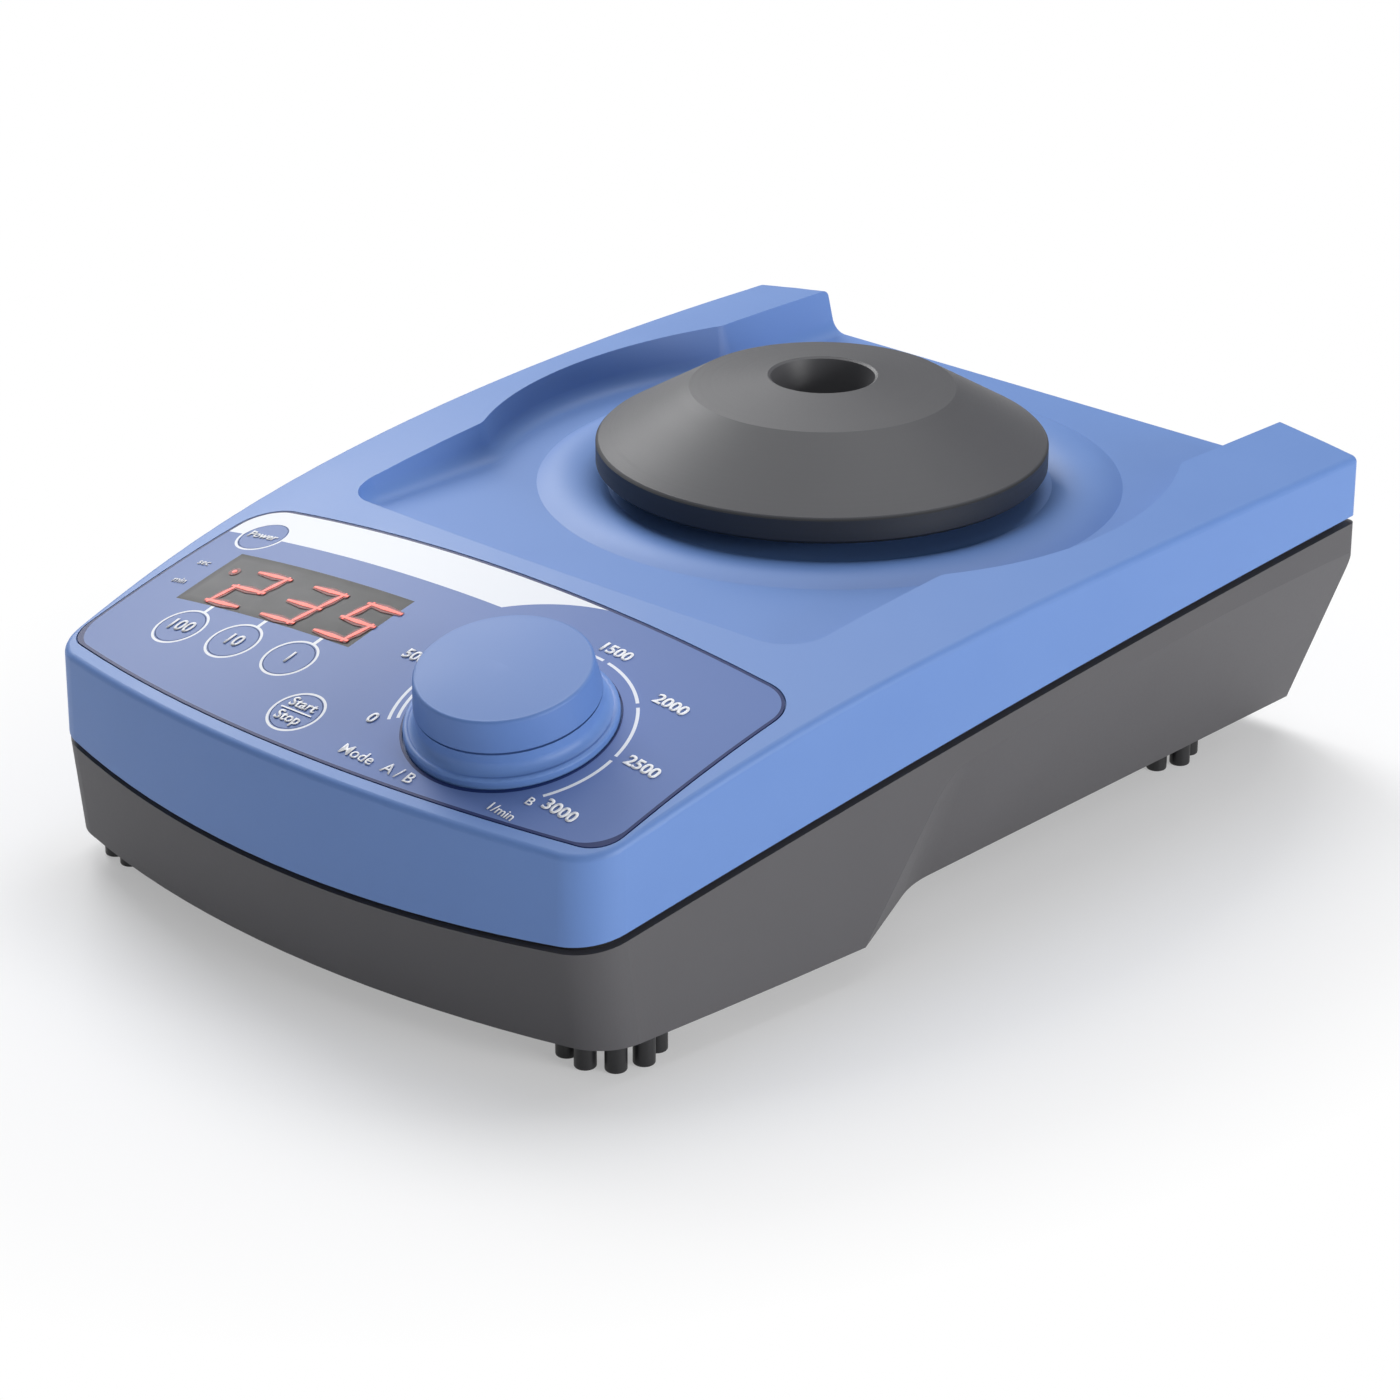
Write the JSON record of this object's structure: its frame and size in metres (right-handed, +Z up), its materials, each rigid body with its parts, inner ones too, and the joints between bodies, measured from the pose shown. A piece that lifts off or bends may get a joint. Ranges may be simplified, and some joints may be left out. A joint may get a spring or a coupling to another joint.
{
  "type": "microplate shaker",
  "caption": "Compact orbital microplate shaker: wedge-shaped housing with a control panel, a speed knob and a round cupped platform moved by an eccentric drive.",
  "frame": {"origin": "on the bench under the middle of the body", "axes": "+X to the right seen from the front, +Y to the back, +Z up"},
  "size_m": [0.148, 0.2048, 0.0732],
  "materials": {
    "blue_housing": "satin moulded",
    "blue_knob": "satin moulded",
    "grey_casting": "satin paint",
    "black_gasket": "matte",
    "foot_rubber": "matte",
    "plate_steel": "milled",
    "screw_steel": "zinc plated",
    "machined_steel": "ground",
    "bearing_steel": "polished",
    "aluminium": "machined",
    "motor_core": "black oxide",
    "rotor_steel": "plated",
    "brass": "machined",
    "platform_rubber": "fine matte",
    "panel_film": "printed matte film",
    "window_tint": "tinted gloss",
    "display_black": "black",
    "circuit_board": "solder mask",
    "switch_black": "moulded",
    "inlet_black": "moulded"
  },
  "bodies": {
    "root": {"top_housing": "blue_housing", "base_housing": "grey_casting", "seam_gasket": "black_gasket", "foot_front_left": "foot_rubber", "foot_front_right": "foot_rubber", "foot_rear_left": "foot_rubber", "foot_rear_right": "foot_rubber", "ballast_plate": "plate_steel", "ballast_screws": "screw_steel", "housing_screws": "screw_steel", "bracket_screws": "screw_steel", "motor_bracket": "aluminium", "motor_stator": "motor_core", "shaft_bearing": "bearing_steel", "idler_bearings": "bearing_steel", "keypad_film": "panel_film", "display_window": "window_tint", "display_module": "display_black", "control_board": "circuit_board", "key_switches": "switch_black", "potentiometer": "switch_black", "drive_board": "circuit_board", "board_spacers": "brass", "power_inlet": "inlet_black"},
    "drive": {"motor_shaft": "machined_steel", "motor_rotor": "rotor_steel", "eccentric": "machined_steel", "counterweight": "brass"},
    "head": {"guide_plate": "aluminium", "main_bearing": "bearing_steel", "shaker_head": "aluminium", "head_screws": "screw_steel", "platform": "platform_rubber", "platform_screws": "screw_steel"},
    "idler_1": {"idler_crank_1": "machined_steel"},
    "idler_2": {"idler_crank_2": "machined_steel"},
    "idler_3": {"idler_crank_3": "machined_steel"},
    "knob": {"speed_knob": "blue_knob", "potentiometer_spindle": "machined_steel"},
    "key_power_cap": {"key_power": "panel_film"},
    "key_hundreds_cap": {"key_hundreds": "panel_film"},
    "key_tens_cap": {"key_tens": "panel_film"},
    "key_units_cap": {"key_units": "panel_film"},
    "key_start_stop_cap": {"key_start_stop": "panel_film"}
  },
  "joints": [
    {"name": "drive_spin", "type": "hinge", "parent": "root", "child": "drive", "pos_m": [0, 0.03865, 0.03], "axis": [0, 0, 1], "continuous": true},
    {"name": "head_counter_turn", "type": "hinge", "parent": "drive", "child": "head", "pos_m": [0, 0.0364, 0.048], "axis": [0, 0, 1], "continuous": true},
    {"name": "idler_1_spin", "type": "hinge", "parent": "root", "child": "idler_1", "pos_m": [0, 0.06965, 0.035], "axis": [0, 0, 1], "continuous": true},
    {"name": "idler_2_spin", "type": "hinge", "parent": "root", "child": "idler_2", "pos_m": [-0.02685, 0.02315, 0.035], "axis": [0, 0, 1], "continuous": true},
    {"name": "idler_3_spin", "type": "hinge", "parent": "root", "child": "idler_3", "pos_m": [0.02685, 0.02315, 0.035], "axis": [0, 0, 1], "continuous": true},
    {"name": "knob_turn", "type": "hinge", "parent": "root", "child": "knob", "pos_m": [0.0298, -0.0749, 0.04971], "axis": [0.0663, -0.2329, 0.9702], "range_deg": [-120.5, 120.5]},
    {"name": "key_power_press", "type": "slide", "parent": "root", "child": "key_power_cap", "axis": [0, 0.2334, -0.9724], "range_m": [0, 0.0004], "stiffness_N_per_m": 2500, "springref_m": -0.0002},
    {"name": "key_hundreds_press", "type": "slide", "parent": "root", "child": "key_hundreds_cap", "axis": [0, 0.2334, -0.9724], "range_m": [0, 0.0004], "stiffness_N_per_m": 2500, "springref_m": -0.0002},
    {"name": "key_tens_press", "type": "slide", "parent": "root", "child": "key_tens_cap", "axis": [0, 0.2334, -0.9724], "range_m": [0, 0.0004], "stiffness_N_per_m": 2500, "springref_m": -0.0002},
    {"name": "key_units_press", "type": "slide", "parent": "root", "child": "key_units_cap", "axis": [0, 0.2334, -0.9724], "range_m": [0, 0.0004], "stiffness_N_per_m": 2500, "springref_m": -0.0002},
    {"name": "key_start_stop_press", "type": "slide", "parent": "root", "child": "key_start_stop_cap", "axis": [0, 0.2334, -0.9724], "range_m": [0, 0.0004], "stiffness_N_per_m": 2500, "springref_m": -0.0002}
  ],
  "couplings": [
    {"joint": "head_counter_turn", "follows": "drive_spin", "ratio": -1},
    {"joint": "idler_1_spin", "follows": "drive_spin", "ratio": 1},
    {"joint": "idler_2_spin", "follows": "drive_spin", "ratio": 1},
    {"joint": "idler_3_spin", "follows": "drive_spin", "ratio": 1}
  ]
}
